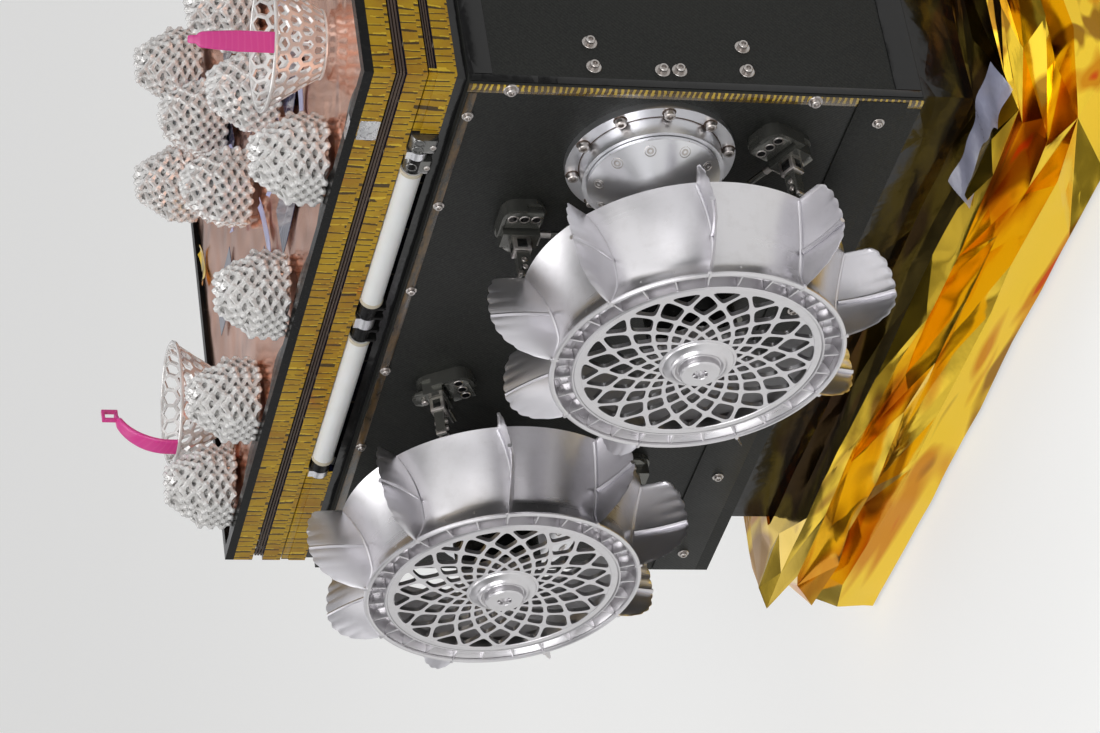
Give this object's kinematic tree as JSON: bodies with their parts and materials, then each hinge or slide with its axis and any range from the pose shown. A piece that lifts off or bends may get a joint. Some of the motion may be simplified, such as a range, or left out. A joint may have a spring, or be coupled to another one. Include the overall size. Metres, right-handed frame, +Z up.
{
  "type": "planetary rover",
  "caption": "Boxy planetary rover stowed on its adapter, with paddled metal wheels on swinging legs and a folded solar array on top.",
  "frame": {"origin": "on the ground under the middle of the adapter plate", "axes": "+X to the rover's front, +Y to its left, +Z up"},
  "size_m": [0.506, 0.559, 0.4687],
  "materials": {
    "panel_black": "dark carbon-fibre facesheet, satin",
    "unit_grey": "plain milled block",
    "adapter_metal": "clear anodised plate",
    "black_film": "black film, slightly glossy",
    "gold_blanket": "crumpled metallised gold film blanket",
    "array_edge": "honeycomb edge under amber film",
    "copper_foil": "copper-coloured foil, smooth, bowed",
    "black_anodised": "black anodised",
    "white_tube": "smooth white",
    "hinge_metal": "bright machined",
    "absorber_lattice": "clear printed lattice",
    "pink_plastic": "printed pink plastic",
    "shoulder_metal": "clear anodised, bead blasted",
    "lock_black": "black anodised with steel tips",
    "wheel_metal": "bright milled aluminium"
  },
  "bodies": {
    "chassis": {"side_panel_right": "panel_black", "side_panel_left": "panel_black", "front_panel": "panel_black", "rear_panel": "panel_black", "base_panel": "panel_black", "deck_panel": "panel_black", "electronics_unit": "unit_grey", "adapter_plate": "adapter_metal", "adapter_neck": "black_film", "thermal_blanket": "gold_blanket", "deck_band": "black_film", "array_panel_fixed": "array_edge", "hinge_brackets": "black_anodised", "hinge_tubes": "white_tube", "shoulder_flange_front_right": "shoulder_metal", "shoulder_flange_front_left": "shoulder_metal", "shoulder_flange_rear_right": "shoulder_metal", "shoulder_flange_rear_left": "shoulder_metal", "wheel_locks_front_right": "lock_black", "wheel_locks_front_left": "lock_black", "wheel_locks_rear_right": "lock_black", "wheel_locks_rear_left": "lock_black"},
    "array_inner": {"array_panel_mid": "array_edge", "array_hinge_root": "hinge_metal", "array_hinge_mid": "hinge_metal"},
    "array_outer": {"array_panel_outer": "array_edge", "array_frame": "panel_black", "copper_foil": "copper_foil", "array_hinge_outer": "hinge_metal", "absorber_blocks": "absorber_lattice", "absorber_rings": "absorber_lattice", "ring_hooks": "pink_plastic"},
    "leg_front_right": {"shoulder_cone_front_right": "shoulder_metal", "leg_front_right": "black_anodised"},
    "wheel_front_right": {"wheel_rim_front_right": "wheel_metal", "wheel_disc_front_right": "wheel_metal", "wheel_cap_front_right": "wheel_metal"},
    "leg_front_left": {"shoulder_cone_front_left": "shoulder_metal", "leg_front_left": "black_anodised"},
    "wheel_front_left": {"wheel_rim_front_left": "wheel_metal", "wheel_disc_front_left": "wheel_metal", "wheel_cap_front_left": "wheel_metal"},
    "leg_rear_right": {"shoulder_cone_rear_right": "shoulder_metal", "leg_rear_right": "black_anodised"},
    "wheel_rear_right": {"wheel_rim_rear_right": "wheel_metal", "wheel_disc_rear_right": "wheel_metal", "wheel_cap_rear_right": "wheel_metal"},
    "leg_rear_left": {"shoulder_cone_rear_left": "shoulder_metal", "leg_rear_left": "black_anodised"},
    "wheel_rear_left": {"wheel_rim_rear_left": "wheel_metal", "wheel_disc_rear_left": "wheel_metal", "wheel_cap_rear_left": "wheel_metal"}
  },
  "joints": [
    {"name": "array_root_hinge", "type": "hinge", "parent": "chassis", "child": "array_inner", "pos_m": [0, -0.1795, 0.354], "axis": [1, 0, 0], "range_deg": [0, 120]},
    {"name": "array_outer_hinge", "type": "hinge", "parent": "array_inner", "child": "array_outer", "pos_m": [0, 0.18, 0.374], "axis": [1, 0, 0], "range_deg": [-180, 0]},
    {"name": "shoulder_front_right", "type": "hinge", "parent": "chassis", "child": "leg_front_right", "pos_m": [0.171, -0.2, 0.234], "axis": [0, -1, 0], "range_deg": [0, 111]},
    {"name": "wheel_spin_front_right", "type": "hinge", "parent": "leg_front_right", "child": "wheel_front_right", "pos_m": [0.11023, -0.245, 0.20579], "axis": [0, -1, 0], "continuous": true},
    {"name": "shoulder_front_left", "type": "hinge", "parent": "chassis", "child": "leg_front_left", "pos_m": [0.171, 0.2, 0.234], "axis": [0, -1, 0], "range_deg": [0, 111]},
    {"name": "wheel_spin_front_left", "type": "hinge", "parent": "leg_front_left", "child": "wheel_front_left", "pos_m": [0.11023, 0.245, 0.20579], "axis": [0, -1, 0], "continuous": true},
    {"name": "shoulder_rear_right", "type": "hinge", "parent": "chassis", "child": "leg_rear_right", "pos_m": [-0.171, -0.2, 0.234], "axis": [0, -1, 0], "range_deg": [0, 201]},
    {"name": "wheel_spin_rear_right", "type": "hinge", "parent": "leg_rear_right", "child": "wheel_rear_right", "pos_m": [-0.11023, -0.245, 0.26221], "axis": [0, -1, 0], "continuous": true},
    {"name": "shoulder_rear_left", "type": "hinge", "parent": "chassis", "child": "leg_rear_left", "pos_m": [-0.171, 0.2, 0.234], "axis": [0, -1, 0], "range_deg": [0, 201]},
    {"name": "wheel_spin_rear_left", "type": "hinge", "parent": "leg_rear_left", "child": "wheel_rear_left", "pos_m": [-0.11023, 0.245, 0.26221], "axis": [0, -1, 0], "continuous": true}
  ],
  "couplings": [
    {"joint": "array_outer_hinge", "follows": "array_root_hinge", "ratio": -1.5}
  ]
}
